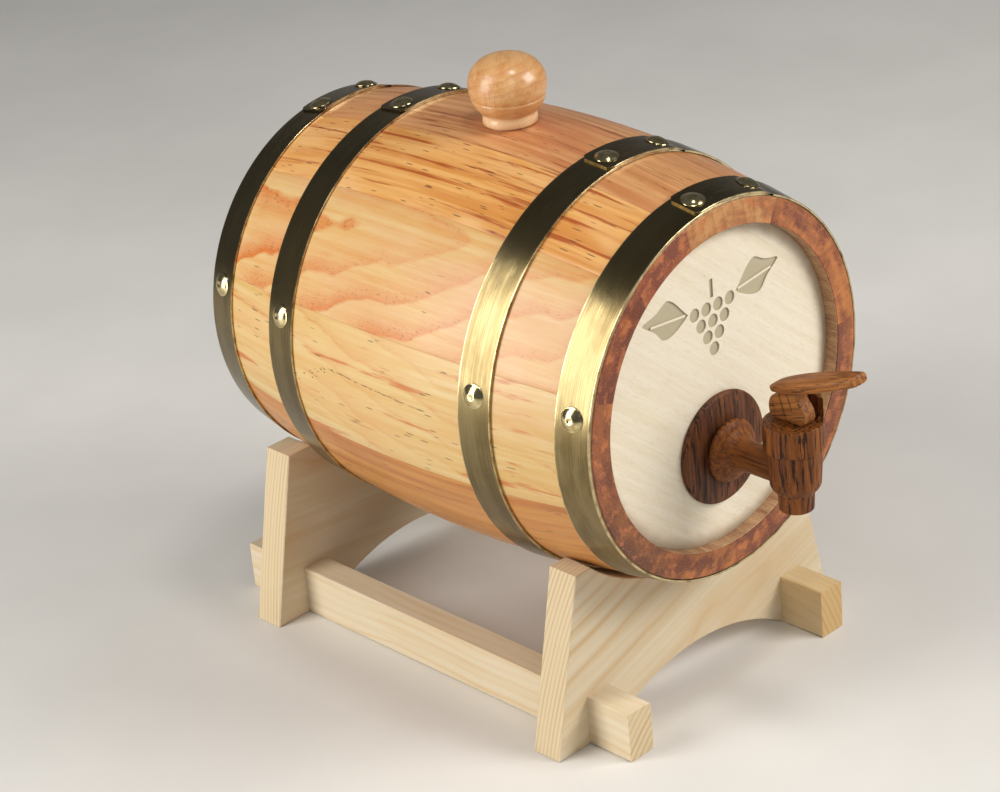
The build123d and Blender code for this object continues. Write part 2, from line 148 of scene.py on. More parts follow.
def boolean(ob, V, F, op, own=False):
    """Boolean with a closed mesh given in mm."""
    cm = bpy.data.meshes.new("cutter")
    cm.from_pydata([tuple(float(q) / 1000 for q in p) for p in V], [], [tuple(int(i) for i in f) for f in F])
    bm = bmesh.new()
    bm.from_mesh(cm)
    bmesh.ops.recalc_face_normals(bm, faces=bm.faces)
    bm.to_mesh(cm)
    bm.free()
    co = bpy.data.objects.new("cutter", cm)
    scene.collection.objects.link(co)
    md = ob.modifiers.new("cut", "BOOLEAN")
    md.operation = op
    md.solver = "EXACT"
    md.use_self = own
    md.object = co
    bpy.context.view_layer.update()
    dg = bpy.context.evaluated_depsgraph_get()
    res = bpy.data.meshes.new_from_object(ob.evaluated_get(dg), preserve_all_data_layers=True, depsgraph=dg)
    ob.modifiers.clear()
    ob.data = res
    bpy.data.objects.remove(co)
    res.shade_smooth()
    res.set_sharp_from_angle(angle=math.radians(40))


# ------------------------------------------------------------------ node helpers
class Mat:
    def __init__(self, name):
        self.m = bpy.data.materials.new(name)
        self.m.use_nodes = True
        self.nt = self.m.node_tree
        self.nt.nodes.clear()
        self.x = 0
        self.out = self.node("ShaderNodeOutputMaterial")
        self.b = self.node("ShaderNodeBsdfPrincipled")
        self.nt.links.new(self.b.outputs[0], self.out.inputs[0])

    def node(self, kind):
        n = self.nt.nodes.new(kind)
        self.x += 1
        n.location = (self.x * 40, -(self.x % 9) * 120)
        return n

    def put(self, sock, v):
        if v is None:
            return
        if isinstance(v, bpy.types.NodeSocket):
            self.nt.links.new(v, sock)
        else:
            if isinstance(v, (tuple, list)) and len(v) == 3 and sock.type == "RGBA":
                v = (*v, 1.0)
            sock.default_value = v

    def math(self, op, a, b=None, c=None, clamp=False):
        n = self.node("ShaderNodeMath")
        n.operation = op
        n.use_clamp = clamp
        for i, v in enumerate((a, b, c)):
            self.put(n.inputs[i], v)
        return n.outputs[0]

    def add(self, a, b): return self.math("ADD", a, b)
    def sub(self, a, b): return self.math("SUBTRACT", a, b)
    def mul(self, a, b): return self.math("MULTIPLY", a, b)

    def vec(self, op, a, b=None, s=None):
        n = self.node("ShaderNodeVectorMath")
        n.operation = op
        self.put(n.inputs[0], a)
        if b is not None:
            self.put(n.inputs[1], b)
        if s is not None:
            self.put(n.inputs["Scale"], s)
        return n.outputs[0] if op not in ("LENGTH", "DOT_PRODUCT", "DISTANCE") else n.outputs["Value"]

    def comb(self, x, y, z):
        n = self.node("ShaderNodeCombineXYZ")
        for i, v in enumerate((x, y, z)):
            self.put(n.inputs[i], v)
        return n.outputs[0]

    def sep(self, v):
        n = self.node("ShaderNodeSeparateXYZ")
        self.put(n.inputs[0], v)
        return n.outputs[0], n.outputs[1], n.outputs[2]

    def noise(self, v, scale=1.0, detail=2.0, rough=0.5, dist=0.0, color=False):
        n = self.node("ShaderNodeTexNoise")
        self.put(n.inputs["Vector"], v)
        n.inputs["Scale"].default_value = scale
        n.inputs["Detail"].default_value = detail
        n.inputs["Roughness"].default_value = rough
        n.inputs["Distortion"].default_value = dist
        return n.outputs["Color"] if color else n.outputs["Fac"]

    def voronoi(self, v, scale=1.0, feature="F1", rand=1.0):
        n = self.node("ShaderNodeTexVoronoi")
        n.feature = feature
        self.put(n.inputs["Vector"], v)
        n.inputs["Scale"].default_value = scale
        n.inputs["Randomness"].default_value = rand
        return n.outputs["Distance"], n.outputs["Color"]

    def white(self, v):
        n = self.node("ShaderNodeTexWhiteNoise")
        n.noise_dimensions = "1D"
        self.put(n.inputs["W"], v)
        return n.outputs["Value"]

    def rng(self, v, a, b, c=0.0, d=1.0, kind="SMOOTHSTEP"):
        n = self.node("ShaderNodeMapRange")
        n.interpolation_type = kind
        for i, x in enumerate((v, a, b, c, d)):
            self.put(n.inputs[i], x)
        return n.outputs[0]

    def ramp(self, fac, stops, interp="LINEAR"):
        n = self.node("ShaderNodeValToRGB")
        n.color_ramp.interpolation = interp
        e = n.color_ramp.elements
        while len(e) < len(stops):
            e.new(0.5)
        for el, (p, c) in zip(e, stops):
            el.position = p
            el.color = (*c, 1.0) if isinstance(c, (tuple, list)) else (c, c, c, 1.0)
        self.put(n.inputs[0], fac)
        return n.outputs[0]

    def mix(self, fac, a, b, mode="MIX"):
        n = self.node("ShaderNodeMix")
        n.data_type = "RGBA"
        n.blend_type = mode
        n.clamp_result = False
        self.put(n.inputs[0], fac)
        self.put(n.inputs[6], a)
        self.put(n.inputs[7], b)
        return n.outputs[2]

    def attr(self, name, vector=True):
        n = self.node("ShaderNodeAttribute")
        n.attribute_type = "GEOMETRY"
        n.attribute_name = name
        return n.outputs["Vector"] if vector else n.outputs["Fac"]

    def obj(self):
        n = self.node("ShaderNodeTexCoord")
        return n.outputs["Object"]

    def bump(self, h, dist=0.0002, strength=1.0, normal=None):
        n = self.node("ShaderNodeBump")
        n.inputs["Strength"].default_value = strength
        n.inputs["Distance"].default_value = dist
        self.put(n.inputs["Height"], h)
        if normal is not None:
            self.put(n.inputs["Normal"], normal)
        return n.outputs[0]


def srgb(r, g, b):
    f = lambda c: ((c / 255 + 0.055) / 1.055) ** 2.4 if c / 255 > 0.04045 else c / 255 / 12.92
    return (f(r), f(g), f(b))


def solid_wood(g, P, c):
    """Colour, band value, fibre value and pore value of solid wood at P = (across, along, deep) in mm."""
    s = c.get("seed", 0.0)
    ul, vl, wl = g.sep(P)
    P = g.vec("ADD", P, (s * 13.7, s * 71.3, s * 7.9))
    u, v, w = g.sep(P)
    u0, w0 = s * 13.7, s * 7.9
    # the pith wanders slowly along the trunk, which draws the flame figure
    slow = g.noise(g.comb(s * 3.1, g.mul(v, c.get("wander_f", 0.014)), 2.0), 1.0, 1.6, 0.5, color=True)
    sx, sy, sz = g.sep(slow)
    soft = g.noise(g.vec("MULTIPLY", P, (0.05, 0.016, 0.05)), 1.0, 2.0, 0.55, color=True)
    fx, fy, fz = g.sep(soft)
    A, B = c.get("wander_u", 6.0), c.get("wander_w", 6.0)
    D = c.get("warp", 4.0)
    du = g.add(g.add(g.sub(u, u0 + c.get("cu", 0.0)), g.mul(g.sub(sx, 0.5), A * 2)), g.mul(g.sub(fx, 0.5), D * 2))
    dw = g.add(g.add(g.sub(w, w0 + c.get("cw", 30.0)), g.mul(g.sub(sy, 0.5), B * 2)), g.mul(g.sub(fy, 0.5), D * 2))
    d = g.math("SQRT", g.add(g.mul(du, du), g.mul(dw, dw)))
    if "cath" in c:
        # nested tongues along the stave: (axis across, its drift per mm along, taper, tip radius, waviness)
        uc, drift, taper, tip, wavy = c["cath"]
        wv = g.noise(g.comb(g.mul(ul, 0.012), g.mul(vl, 0.030), s), 1.0, 2.5, 0.5)
        wv2 = g.noise(g.comb(g.mul(ul, 0.05), g.mul(vl, 0.012), s + 3.0), 1.0, 2.0, 0.5)
        hh = g.add(g.sub(ul, g.add(g.mul(vl, drift), uc)), g.mul(g.sub(wv2, 0.5), wavy))
        hh = g.math("SQRT", g.add(g.mul(hh, hh), tip * tip))
        d = g.add(g.add(hh, g.mul(vl, -taper)), g.add(g.mul(g.sub(wv, 0.5), wavy * 2.2), 60.0 + c.get("phase", 0.0)))
    wob = g.noise(g.vec("MULTIPLY", P, (0.5, 0.04, 0.5)), 1.0, 3.0, 0.6)
    ph = g.add(g.mul(d, 1.0 / c.get("ring", 3.0)), g.mul(wob, c.get("wobble", 0.25)))
    fr = g.math("FRACT", ph)
    no = g.white(g.math("FLOOR", ph))
    edge = c.get("edge", 0.86)
    band = g.ramp(fr, [(0.0, 0.0), (edge * 0.45, c.get("fill", 0.10)), (edge * 0.82, c.get("fill", 0.10) + c.get("grad", 0.34)), (edge, 1.0), (min(edge + 0.035, 0.97), 0.6), (1.0, 0.0)])
    band = g.mul(band, g.rng(no, 0.0, 1.0, c.get("ring_lo", 0.25), 1.0, "LINEAR"))
    patch = g.rng(g.noise(g.vec("MULTIPLY", P, (0.03, 0.012, 0.03)), 1.0, 1.5), 0.34, 0.66)
    band = g.mul(band, g.rng(patch, 0.0, 1.0, c.get("patch_lo", 0.5), 1.0, "LINEAR"))
    if "boost" in c:
        band = g.mul(band, g.rng(vl, *c["boost"], "LINEAR"))
    # long fibre streaks and fine fibres
    streak = g.noise(g.vec("MULTIPLY", P, (0.30, 0.009, 0.30)), 1.0, 4.0, 0.62)
    fine = g.noise(g.vec("MULTIPLY", P, (3.6, 0.10, 3.6)), 1.0, 3.0, 0.65)
    col = g.mix(g.rng(streak, 0.36, 0.64), c["base"], c["base2"])
    blot = g.noise(g.vec("MULTIPLY", g.vec("ADD", P, (7.0, 50.0, 3.0)), (0.055, 0.018, 0.055)), 1.0, 3.0, 0.6)
    col = g.mix(g.mul(g.rng(blot, 0.44, 0.66), c.get("k_blot", 0.0)), col, c.get("blot", c["base2"]))
    col = g.mix(g.mul(band, c.get("k_band", 0.8)), col, c["band"])
    # brown specks where the figure is dark
    speck = g.noise(g.vec("MULTIPLY", P, (1.7, 0.42, 1.7)), 1.0, 2.0, 0.6)
    col = g.mix(g.mul(g.mul(g.rng(speck, 0.56, 0.68), g.rng(band, 0.10, 0.7)), c.get("k_speck", 0.0)), col, c.get("speck", (0.16, 0.06, 0.02)))
    col = g.mix(g.mul(g.rng(patch, 0.2, 1.0), c.get("k_patch", 0.3)), col, c.get("patch", c["base2"]))
    # a second, narrower set of coloured streaks
    st2 = g.noise(g.vec("MULTIPLY", g.vec("ADD", P, (31.0, 0.0, 5.0)), c.get("st_scale", (0.30, 0.013, 0.30))), 1.0, 4.0, 0.62)
    col = g.mix(g.mul(g.rng(st2, c.get("st_lo", 0.58), c.get("st_hi", 0.72)), c.get("k_streak", 0.4)), col, c.get("streak", c["band"]))
    col = g.mix(g.mul(g.rng(fine, 0.35, 0.75), c.get("k_fine", 0.12)), col, c.get("fine", c["band"]))
    # pores: short dark dashes along the grain, in patches
    pd, pc = g.voronoi(g.vec("ADD", g.vec("MULTIPLY", P, c.get("pore_scale", (0.80, 0.098, 0.0))), g.vec("SCALE", soft, s=0.6)), 1.0)
    px, py, pz = g.sep(pc)
    pm = g.rng(g.noise(g.vec("MULTIPLY", P, (0.045, 0.016, 0.0)), 1.0, 2.5), c.get("pore_lo", 0.5), c.get("pore_hi", 0.62))
    size = g.add(g.mul(py, 0.12), c.get("pore_size", 0.13))
    pore = g.mul(g.rng(g.sub(pd, size), -0.04, 0.03, 1.0, 0.0), g.rng(g.sub(px, g.mul(pm, c.get("pore_share", 0.5))), -0.02, 0.02, 1.0, 0.0))
    pore = g.mul(pore, g.rng(pz, 0.0, 1.0, 0.55, 1.0, "LINEAR"))
    col = g.mix(g.mul(pore, c.get("k_pore", 0.88)), col, c.get("pore", (0.035, 0.012, 0.004)))
    return col, band, fine, pore, streak


def finish_wood(g, col, fine, pore, rough=(0.34, 0.46), coat=0.25, coat_rough=0.18, bump=0.00006, spec=0.5, extra=None):
    g.put(g.b.inputs["Base Color"], col)
    smear = g.noise(g.obj(), 38.0, 3.0, 0.6)
    g.put(g.b.inputs["Roughness"], g.add(g.rng(smear, 0.3, 0.7, rough[0], rough[1]), g.mul(pore, 0.15)))
    g.b.inputs["Coat Weight"].default_value = coat
    g.b.inputs["Coat Roughness"].default_value = coat_rough
    g.b.inputs["Specular IOR Level"].default_value = spec
    h = g.sub(g.mul(fine, 0.35), g.mul(pore, 1.0))
    if extra is not None:
        h = g.add(h, extra)
    g.put(g.b.inputs["Normal"], g.bump(h, bump, 1.0))


# ------------------------------------------------------------------ materials
def stave_mat(i, name):
    g = Mat("mat_" + name)
    P = g.attr("grain")
    C = dict(base=srgb(224, 172, 108), base2=srgb(204, 140, 76), band=srgb(180, 94, 42), patch=srgb(216, 152, 88), blot=srgb(208, 144, 92), k_blot=0.4,
             streak=srgb(170, 80, 30), seed=i * 1.37 + 0.4, k_streak=0.6, end_a=srgb(151, 83, 41), end_b=srgb(110, 52, 24))
    C.update(STAVE.get(name, {}))
    col, band, fine, pore, streak = solid_wood(g, P, C)
    u, v, w = g.sep(P)
    # cut ends: darker and redder, with the rings as arcs, saw marks and stray specks
    av = g.math("ABSOLUTE", v)
    endm = g.rng(av, HALF_L - 0.42, HALF_L - 0.3)
    Q = g.vec("ADD", P, (i * 9.1, 0.0, i * 4.2))
    big = g.noise(g.vec("MULTIPLY", Q, (0.085, 0.0, 0.12)), 1.0, 3.5, 0.62)
    ec = g.mix(g.rng(big, 0.40, 0.60), C.get("end_a", srgb(180, 106, 68)), C.get("end_b", srgb(142, 72, 44)))
    big2 = g.noise(g.vec("MULTIPLY", Q, (0.16, 0.0, 0.20)), 1.0, 3.0, 0.6)
    ec = g.mix(g.mul(g.rng(big2, 0.50, 0.66), 0.6), ec, srgb(204, 120, 58))
    ec = g.mix(g.mul(band, 0.5), ec, srgb(104, 40, 20))
    grit = g.noise(g.vec("MULTIPLY", P, (1.9, 0.0, 1.9)), 1.0, 3.0, 0.7)
    ec = g.mix(g.mul(g.rng(grit, 0.50, 0.74), 0.55), ec, srgb(204, 146, 98))
    dots = g.noise(g.vec("MULTIPLY", P, (2.6, 0.0, 2.6)), 1.0, 2.5, 0.6)
    ec = g.mix(g.mul(g.mul(g.rng(dots, 0.58, 0.68), g.rng(big2, 0.35, 0.6)), 0.75), ec, srgb(84, 24, 14))
    saw = g.noise(g.comb(g.add(g.mul(u, 0.9), g.mul(w, 0.7)), 0.0, g.sub(g.mul(w, 0.12), g.mul(u, 0.07))), 1.3, 2.0, 0.6)
    ec = g.mix(g.mul(g.rng(saw, 0.67, 0.76), 0.32), ec, srgb(228, 186, 146))
    # inside wall of the chime: raw pale brown
    inm = g.rng(w, 8.6, 9.2)
    ic = g.mix(g.rng(streak, 0.3, 0.7), srgb(206, 164, 120), srgb(166, 120, 82))
    ic = g.mix(g.mul(g.rng(fine, 0.4, 0.7), 0.35), ic, srgb(132, 86, 54))
    cross = g.noise(g.vec("MULTIPLY", P, (1.4, 0.12, 0.0)), 1.0, 3.0, 0.65)
    ic = g.mix(g.mul(g.rng(cross, 0.52, 0.66), 0.55), ic, srgb(120, 74, 46))
    ic = g.mix(g.mul(g.rng(cross, 0.28, 0.40, 1.0, 0.0), 0.5), ic, srgb(236, 206, 166))
    col = g.mix(inm, col, ic)
    col = g.mix(endm, col, ec)
    ee = g.rng(g.noise(g.vec("MULTIPLY", P, (0.6, 0.6, 0.6)), 1.0, 2.0), 0.35, 0.65)
    edge = g.mul(g.mul(g.rng(av, HALF_L - 0.75, HALF_L - 0.45), g.sub(1.0, endm)), ee)
    col = g.mix(g.mul(edge, 0.6), col, srgb(240, 214, 184))
    raw = g.math("MAXIMUM", inm, endm)
    if name == "stave_08":
        wav = g.mul(g.sub(g.noise(g.comb(0.0, g.mul(v, 0.08), 4.0), 1.0, 3.0), 0.5), 3.0)
        line = g.math("ABSOLUTE", g.sub(g.add(u, wav), g.add(g.mul(v, 0.055), 4.2)))
        run = g.mul(g.rng(v, -34.0, -14.0), g.rng(v, 22.0, 26.0, 1.0, 0.0))
        crack = g.mul(g.mul(g.rng(line, 0.10, 0.34, 1.0, 0.0), run), g.rng(g.noise(g.comb(0.0, g.mul(v, 0.22), 9.0), 1.0, 2.0), 0.40, 0.55))
        line2 = g.math("ABSOLUTE", g.sub(g.add(u, g.mul(wav, 0.6)), g.sub(5.4, g.mul(g.sub(v, 22.0), 0.40))))
        run2 = g.mul(g.rng(v, 20.0, 22.0), g.rng(v, 52.0, 56.0, 1.0, 0.0))
        vd, vc = g.voronoi(g.vec("MULTIPLY", P, (0.9, 0.42, 0.0)), 1.0)
        holes = g.mul(g.mul(g.rng(vd, 0.22, 0.30, 1.0, 0.0), g.rng(line2, 1.2, 2.4, 1.0, 0.0)), run2)
        hit = g.math("MAXIMUM", crack, holes)
        col = g.mix(g.mul(hit, 0.85), col, srgb(84, 40, 18))
        pore = g.math("MAXIMUM", pore, hit)
    g.put(g.b.inputs["Base Color"], col)
    smear = g.noise(g.obj(), 40.0, 3.0, 0.6)
    ro = g.add(g.rng(smear, 0.3, 0.7, 0.33, 0.43), g.mul(pore, 0.2))
    g.put(g.b.inputs["Roughness"], g.add(ro, g.mul(raw, 0.22)))
    g.b.inputs["Coat Weight"].default_value = 0.22
    g.b.inputs["Coat Roughness"].default_value = 0.2
    h = g.sub(g.mul(fine, 0.30), g.mul(pore, 1.0))
    h = g.add(h, g.mul(endm, g.mul(g.add(grit, saw), 1.2)))
    g.put(g.b.inputs["Normal"], g.bump(h, 0.00006, 1.0))
    return g.m


PINK = dict(base=srgb(222, 168, 114), base2=srgb(204, 140, 86), band=srgb(176, 92, 44), patch=srgb(212, 148, 98))
STAVE = {
    # top stave with the bung: tan and pinkish brown, fine dark dashes, brown lines
    "bung_stave": dict(base=srgb(216, 160, 106), base2=srgb(192, 126, 76), band=srgb(150, 80, 40), patch=srgb(210, 158, 98), streak=srgb(132, 64, 28),
                       blot=srgb(186, 112, 70), k_blot=0.55, cu=-46.0, cw=18.0, ring=5.6, k_band=0.6, k_streak=0.75, st_lo=0.56, st_hi=0.66,
                       pore_lo=0.30, pore_hi=0.48, pore_share=0.62, warp=2.0, pore_size=0.08, k_speck=0.4),
    # golden stave with orange lines and many dark dashes
    "stave_10": dict(base=srgb(228, 174, 102), base2=srgb(206, 138, 64), band=srgb(176, 84, 30), patch=srgb(228, 170, 100), streak=srgb(158, 66, 18),
                     blot=srgb(232, 186, 124), k_blot=0.7, cu=52.0, cw=22.0, ring=6.0, k_band=0.6, k_streak=0.85, st_lo=0.54, st_hi=0.64, pore_lo=0.30, pore_hi=0.46,
                     pore_share=0.80, k_pore=0.95, warp=2.2, pore_size=0.12),
    # pale stave with the broad nested flame figure
    "stave_09": dict(base=srgb(218, 188, 130), base2=srgb(212, 168, 102), band=srgb(204, 104, 30), patch=srgb(214, 176, 116), streak=srgb(206, 142, 76),
                     blot=srgb(214, 172, 126), k_blot=0.45, cath=(15.0, -0.17, 0.22, 3.0, 10.0), phase=1.0, ring=15.0, fill=0.22, grad=0.42, boost=(-60.0, 75.0, 0.70, 1.5), k_band=0.95, edge=0.90, ring_lo=0.60,
                     patch_lo=0.55, k_streak=0.35, k_fine=0.25, pore_lo=0.52, pore_hi=0.64, pore_share=0.45, k_patch=0.2, wobble=0.05, k_speck=0.75),
    # pale yellow stave with a few orange streaks
    "stave_08": dict(base=srgb(216, 190, 134), base2=srgb(208, 170, 100), band=srgb(200, 122, 48), patch=srgb(216, 178, 114), streak=srgb(190, 98, 32),
                     blot=srgb(212, 166, 106), k_blot=0.6, cath=(30.0, 0.10, -0.12, 4.0, 9.0), phase=5.0, ring=12.0, fill=0.12, k_band=0.55, edge=0.9, ring_lo=0.3,
                     patch_lo=0.4, k_streak=0.85, st_lo=0.57, st_hi=0.68, st_scale=(0.20, 0.018, 0.20), pore_lo=0.46, pore_hi=0.56, pore_share=0.5, wobble=0.06, k_speck=0.3),
    "stave_07": dict(base=srgb(194, 136, 62), base2=srgb(166, 100, 38), band=srgb(180, 90, 32), patch=srgb(214, 150, 78), streak=srgb(172, 78, 26),
                     blot=srgb(208, 150, 82), k_blot=0.5, cu=-40.0, cw=20.0, ring=6.4, k_band=0.7, pore_lo=0.46, pore_hi=0.58, pore_share=0.5, k_streak=0.6),
    "stave_06": dict(PINK, cu=20.0, cw=30.0, ring=6.6, k_band=0.8, end_a=srgb(164, 96, 41), end_b=srgb(112, 53, 21)),
    "stave_05": dict(cath=(-6.0, 0.10, 0.2, 3.0, 9.0), ring=11.0, fill=0.16, edge=0.9, k_speck=0.5, cu=-30.0, cw=34.0),
    "stave_04": dict(PINK, cu=6.0, cw=26.0, ring=6.6, wander_w=10.0, k_band=0.8),
    "stave_03": dict(base=srgb(226, 178, 112), base2=srgb(212, 148, 78), cu=48.0, cw=20.0, ring=5.6, k_streak=0.7, pore_lo=0.3, pore_hi=0.5, pore_share=0.7),
    "stave_02": dict(PINK, cath=(10.0, -0.12, -0.2, 3.0, 9.0), ring=11.5, fill=0.16, edge=0.9, k_speck=0.5, end_a=srgb(176, 106, 45), end_b=srgb(130, 63, 24)),
    "stave_01": dict(base=srgb(210, 152, 104), base2=srgb(188, 124, 78), band=srgb(148, 78, 46), patch=srgb(196, 132, 88), streak=srgb(134, 64, 34),
                     cu=34.0, cw=26.0, ring=5.4, k_band=0.6, k_streak=0.7, pore_lo=0.36, pore_hi=0.52, pore_share=0.6, end_a=srgb(161, 91, 41), end_b=srgb(110, 46, 20)),
}
STAVE["bung_stave"].update(end_a=srgb(193, 137, 77), end_b=srgb(156, 93, 44))
STAVE["stave_09"].update(end_a=srgb(136, 65, 26), end_b=srgb(100, 39, 15))
STAVE["stave_10"].update(end_a=srgb(150, 72, 28), end_b=srgb(114, 46, 17))
STAVE["stave_08"].update(end_a=srgb(144, 77, 32), end_b=srgb(104, 48, 19))
STAVE["stave_07"].update(end_a=srgb(130, 73, 30), end_b=srgb(94, 46, 17))


def head_mat():
    g = Mat("mat_head")
    p = g.vec("SCALE", g.obj(), s=1000.0)
    x, y, z = g.sep(p)
    th = math.radians(-40)
    a = g.add(g.mul(x, math.cos(th)), g.mul(z, math.sin(th)))
    b = g.sub(g.mul(z, math.cos(th)), g.mul(x, math.sin(th)))
    P = g.comb(b, a, y)
    C = dict(base=srgb(236, 226, 205), base2=srgb(230, 217, 190), band=srgb(222, 204, 172), patch=srgb(238, 229, 210), streak=srgb(219, 202, 170),
             seed=4.4, cu=-70.0, cw=30.0, ring=5.0, k_band=0.25, k_streak=0.25, k_fine=0.3, fine=srgb(212, 194, 160), pore_scale=(1.5, 0.30, 0.0),
             pore_lo=0.2, pore_hi=0.7, pore_share=0.25, k_pore=0.3, pore=srgb(160, 130, 90), warp=2.0, wobble=0.6)
    col, band, fine, pore, streak = solid_wood(g, P, C)
    # short soft flecks across the board
    fleck = g.noise(g.vec("MULTIPLY", P, (1.1, 0.22, 1.1)), 1.0, 3.0, 0.65)
    col = g.mix(g.mul(g.rng(fleck, 0.54, 0.70), 0.34), col, srgb(208, 190, 156))
    # carved motif: grey olive floor; the head's edge by the chime is painted darker as shade
    depth = g.rng(y, 25.8 - HEAD_Y + 0.15, 25.8 - HEAD_Y + 0.5)
    front = g.rng(y, -40.0, -50.0)
    cut = g.mul(g.mul(depth, front), g.rng(g.math("SQRT", g.add(g.mul(x, x), g.mul(g.sub(z, AZ + 30.0), g.sub(z, AZ + 30.0)))), 44.0, 48.0, 1.0, 0.0))
    col = g.mix(g.mul(cut, 0.85), col, srgb(172, 160, 128))
    # painted shade: a ragged dark band round the head's edge inside the chime, standing in for the shade of the recess
    rad = g.math("SQRT", g.add(g.mul(x, x), g.mul(g.sub(z, AZ), g.sub(z, AZ))))
    chime_shade_dist = g.add(rad, g.mul(g.sub(g.noise(g.vec("SCALE", P, s=0.12), 1.0, 3.0), 0.5), 3.0))
    col = g.mix(g.mul(g.rng(chime_shade_dist, R_END - CHIME_W - 6.5, R_END - CHIME_W + 0.6), 0.7), col, srgb(132, 102, 70))
    finish_wood(g, col, fine, pore, rough=(0.42, 0.56), coat=0.08, coat_rough=0.3, bump=0.00005)
    return g.m


def pine_mat(name, axis, seed, **kw):
    """Raw pine. axis gives the object coordinates used as (across, along, deep)."""
    g = Mat(name)
    p = g.vec("SCALE", g.obj(), s=1000.0)
    xyz = g.sep(p)
    u, v, w = (g.mul(xyz[abs(k) - 1], 1.0 if k > 0 else -1.0) for k in axis)
    tilt = kw.pop("tilt", 0.0)
    if tilt:
        u = g.add(u, g.mul(v, tilt))
    P = g.comb(u, v, w)
    C = dict(base=srgb(219, 205, 178), base2=srgb(213, 194, 160), band=srgb(200, 152, 82), patch=srgb(221, 209, 184), streak=srgb(208, 174, 118),
             seed=seed, ring=2.0, k_band=0.95, ring_lo=0.4, patch_lo=0.75, k_streak=0.2, k_fine=0.16, fine=srgb(216, 186, 136), fill=0.04,
             pore_scale=(1.2, 0.2, 0.0), pore_lo=0.5, pore_hi=0.8, pore_share=0.15, k_pore=0.3, pore=srgb(160, 116, 64), edge=0.72, warp=2.0, wobble=0.10)
    C.update(kw)
    col, band, fine, pore, streak = solid_wood(g, P, C)
    # end grain: rings stand out more
    ge = g.node("ShaderNodeNewGeometry")
    nx, ny, nz = g.sep(ge.outputs["Normal"])
    nn = (nx, ny, nz)[abs(axis[1]) - 1]
    endm = g.rng(g.math("ABSOLUTE", nn), 0.80, 0.93)
    grit = g.noise(g.vec("MULTIPLY", P, (2.6, 0.0, 2.6)), 1.0, 3.0, 0.7)
    ec = g.mix(g.mul(band, 0.8), C.get("end", srgb(216, 197, 160)), srgb(168, 118, 64))
    ec = g.mix(g.mul(g.rng(grit, 0.45, 0.75), 0.35), ec, srgb(190, 142, 86))
    col = g.mix(endm, col, ec)
    ed = g.noise(g.obj(), 300.0, 3.0, 0.6)
    finish_wood(g, col, fine, pore, rough=(0.52, 0.66), coat=0.0, bump=0.00008, spec=0.35, extra=g.mul(endm, g.mul(grit, 1.0)))
    return g.m


def tap_mat(name, axis, seed, light=0.0, attr=None, **kw):
    g = Mat(name)
    if attr:
        P = g.attr(attr)
    else:
        p = g.vec("SCALE", g.obj(), s=1000.0)
        xyz = g.sep(p)
        lean = kw.pop("lean", 0.0)
        if lean:
            x, y, z = xyz
            y, z = g.sub(g.mul(y, math.cos(lean)), g.mul(z, math.sin(lean))), g.add(g.mul(z, math.cos(lean)), g.mul(y, math.sin(lean)))
            xyz = (x, y, z)
        P = g.comb(*(xyz[abs(k) - 1] for k in axis))
    a, b = srgb(148, 86, 31), srgb(106, 56, 19)
    if light:
        a, b = srgb(178, 114, 54), srgb(136, 80, 34)
    C = dict(base=a, base2=b, band=srgb(40, 17, 7), patch=srgb(128, 74, 30), streak=srgb(26, 10, 5), seed=seed, cu=18.0, cw=16.0, ring=2.5,
             k_band=0.85, wobble=0.55, warp=3.0, wander_u=3.0, wander_w=3.0, wander_f=0.05, ring_lo=0.05, patch_lo=0.4, k_patch=0.3, fill=0.05,
             k_streak=0.92, st_lo=0.52, st_hi=0.60, st_scale=(0.42, 0.03, 0.42), k_fine=0.4, fine=srgb(56, 24, 10), pore_scale=(1.5, 0.22, 0.0), pore_lo=0.25, pore_hi=0.5,
             pore_share=0.6, k_pore=0.8, pore=srgb(24, 9, 5), edge=0.82)
    C.update(kw)
    # this timber's figure is finer than the staves', so its coordinates are stretched
    k = kw.get("zoom", 2.0)
    col, band, fine, pore, streak = solid_wood(g, g.vec("SCALE", P, s=k), {**C, "cu": C["cu"] * k, "cw": C["cw"] * k, "ring": C["ring"] * k})
    finish_wood(g, col, fine, pore, rough=(0.46, 0.60), coat=0.03, coat_rough=0.3, bump=0.00012, spec=0.22)
    return g.m


def bung_mat():
    g = Mat("mat_bung")
    p = g.vec("SCALE", g.obj(), s=1000.0)
    x, y, z = g.sep(p)
    th = math.radians(35)
    a = g.add(g.mul(x, math.cos(th)), g.mul(y, math.sin(th)))
    b = g.sub(g.mul(y, math.cos(th)), g.mul(x, math.sin(th)))
    P = g.comb(b, g.add(a, g.mul(z, 0.25)), g.sub(z, 236.0))
    C = dict(base=srgb(216, 168, 112), base2=srgb(202, 144, 86), band=srgb(166, 98, 46), patch=srgb(220, 176, 124), streak=srgb(172, 102, 48), seed=9.2,
             cu=10.0, cw=-30.0, ring=2.6, k_band=0.55, warp=3.5, wander_f=0.05, wander_w=5.0, wander_u=5.0, wobble=0.4, k_streak=0.45, k_fine=0.25,
             pore_scale=(2.0, 0.3, 0.0), pore_lo=0.35, pore_hi=0.6, pore_share=0.4, k_pore=0.5, pore=srgb(120, 62, 28))
    col, band, fine, pore, streak = solid_wood(g, P, C)
    # painted light: the collar under the ball is made paler, lifting the shade the ball casts on it
    col = g.mix(g.mul(g.rng(z, AZ + R_BELLY + 4.4, AZ + R_BELLY + 5.4, 1.0, 0.0), 0.55), col, srgb(240, 206, 160))
    finish_wood(g, col, fine, pore, rough=(0.26, 0.36), coat=0.3, coat_rough=0.14, bump=0.00004)
    return g.m


